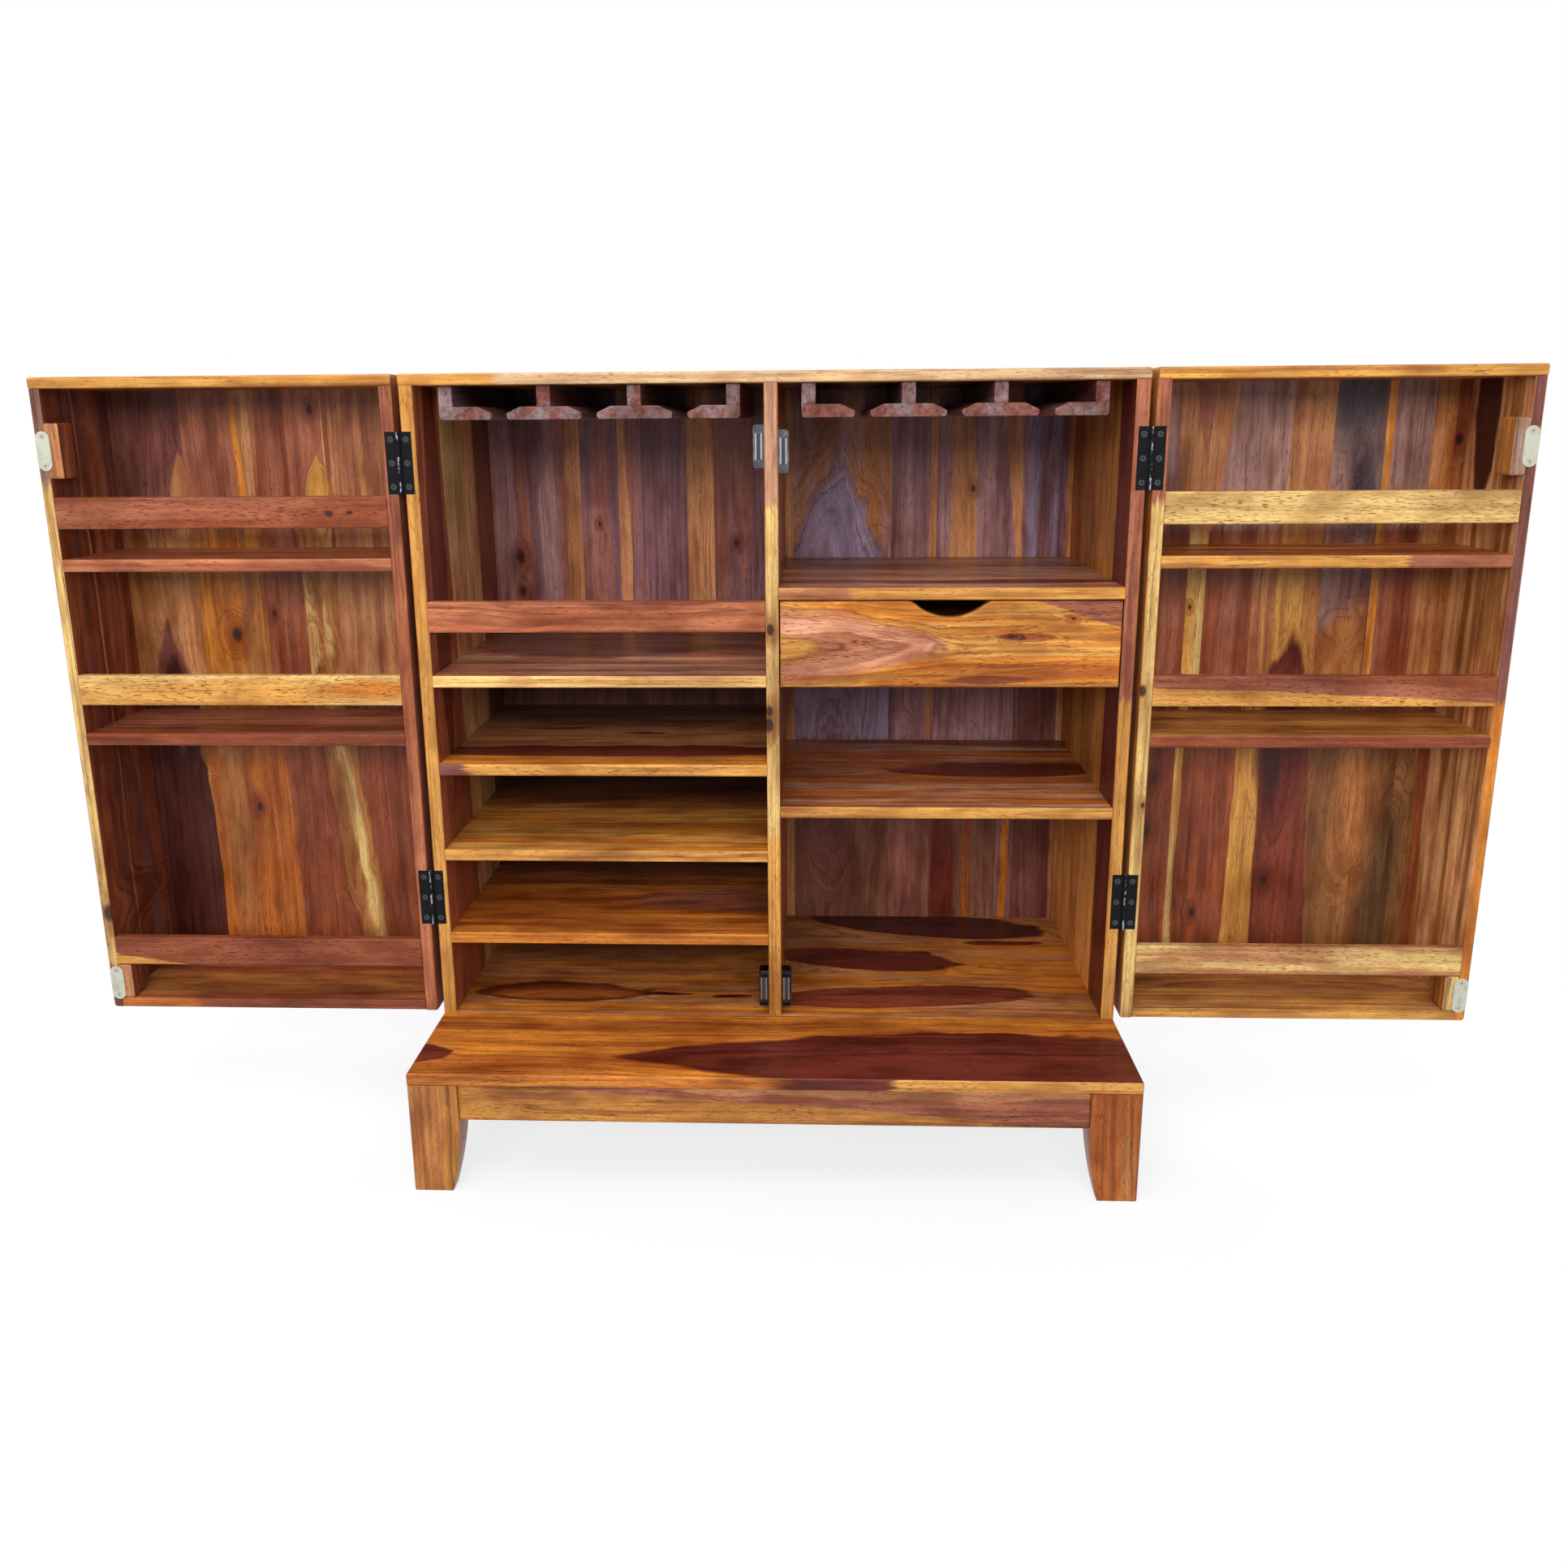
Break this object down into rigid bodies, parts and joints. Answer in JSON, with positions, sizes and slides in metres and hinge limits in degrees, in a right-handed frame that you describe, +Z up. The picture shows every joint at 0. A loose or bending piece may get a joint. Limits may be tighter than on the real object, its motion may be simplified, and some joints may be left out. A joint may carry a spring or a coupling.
{
  "type": "bar cabinet",
  "caption": "Free-standing wooden bar cabinet on a low leg base, with deep hinged box doors that hold bottles, lying-bottle shelves, a drawer and hanging stemware rails.",
  "frame": {"origin": "On the floor, under the middle of the bounding box with both doors swung fully open.", "axes": "+X to the right of a person facing the open front, +Y to the back, +Z up. The front faces -Y."},
  "size_m": [1.842, 0.508, 1.016],
  "materials": {
    "sheesham": "satin lacquer",
    "black_steel": "satin black",
    "pin_steel": "plain",
    "screw_steel": "zinc plated",
    "catch_case": "bright",
    "magnet_poles": "bright",
    "strike_steel": "zinc plated"
  },
  "bodies": {
    "cabinet": {"back_apron": "sheesham", "back_legs": "sheesham", "back_panel": "sheesham", "base_front_board": "sheesham", "bottle_guard_rail": "sheesham", "bottle_shelf_1": "sheesham", "bottle_shelf_2": "sheesham", "bottle_shelf_3": "sheesham", "bottle_shelf_4": "sheesham", "cabinet_floor": "sheesham", "cabinet_screws": "screw_steel", "catch_housings": "catch_case", "centre_divider": "sheesham", "drawer_runners": "sheesham", "drawer_shelf": "sheesham", "front_apron": "sheesham", "front_legs": "sheesham", "hinge_cabinet_leaves": "black_steel", "hinge_pins": "pin_steel", "left_glass_rails": "sheesham", "left_side": "sheesham", "lower_shelf": "sheesham", "right_glass_rails": "sheesham", "right_side": "sheesham", "side_aprons": "sheesham", "top_board": "sheesham"},
    "left_door": {"left_door_bottle_rails": "sheesham", "left_door_bottom": "sheesham", "left_door_catch_blocks": "sheesham", "left_door_free_side": "sheesham", "left_door_hinge_side": "sheesham", "left_door_knob": "sheesham", "left_door_lower_shelf": "sheesham", "left_door_panel": "sheesham", "left_door_screws": "screw_steel", "left_door_strike_plates": "strike_steel", "left_door_top": "sheesham", "left_door_upper_shelf": "sheesham", "left_hinge_door_leaves": "black_steel"},
    "right_door": {"right_door_bottle_rails": "sheesham", "right_door_bottom": "sheesham", "right_door_catch_blocks": "sheesham", "right_door_free_side": "sheesham", "right_door_hinge_side": "sheesham", "right_door_knob": "sheesham", "right_door_lower_shelf": "sheesham", "right_door_panel": "sheesham", "right_door_screws": "screw_steel", "right_door_strike_plates": "strike_steel", "right_door_top": "sheesham", "right_door_upper_shelf": "sheesham", "right_hinge_door_leaves": "black_steel"},
    "drawer": {"drawer_back": "sheesham", "drawer_bottom": "sheesham", "drawer_front": "sheesham", "drawer_sides": "sheesham"},
    "upper_left_magnet": {"upper_left_magnet": "magnet_poles"},
    "lower_left_magnet": {"lower_left_magnet": "magnet_poles"},
    "upper_right_magnet": {"upper_right_magnet": "magnet_poles"},
    "lower_right_magnet": {"lower_right_magnet": "magnet_poles"}
  },
  "joints": [
    {"name": "left_door_hinge", "type": "hinge", "parent": "cabinet", "child": "left_door", "pos_m": [-0.4615, -0.095, 0.6], "axis": [0, 0, -1], "range_deg": [-180, 0]},
    {"name": "right_door_hinge", "type": "hinge", "parent": "cabinet", "child": "right_door", "pos_m": [0.4615, -0.095, 0.6], "axis": [0, 0, 1], "range_deg": [-180, 0]},
    {"name": "drawer_slide", "type": "slide", "parent": "cabinet", "child": "drawer", "axis": [0, -1, 0], "range_m": [0, 0.23]},
    {"name": "upper_left_magnet_float", "type": "slide", "parent": "cabinet", "child": "upper_left_magnet", "axis": [0, 1, 0], "range_m": [0, 0.0015]},
    {"name": "lower_left_magnet_float", "type": "slide", "parent": "cabinet", "child": "lower_left_magnet", "axis": [0, 1, 0], "range_m": [0, 0.0015]},
    {"name": "upper_right_magnet_float", "type": "slide", "parent": "cabinet", "child": "upper_right_magnet", "axis": [0, 1, 0], "range_m": [0, 0.0015]},
    {"name": "lower_right_magnet_float", "type": "slide", "parent": "cabinet", "child": "lower_right_magnet", "axis": [0, 1, 0], "range_m": [0, 0.0015]}
  ]
}
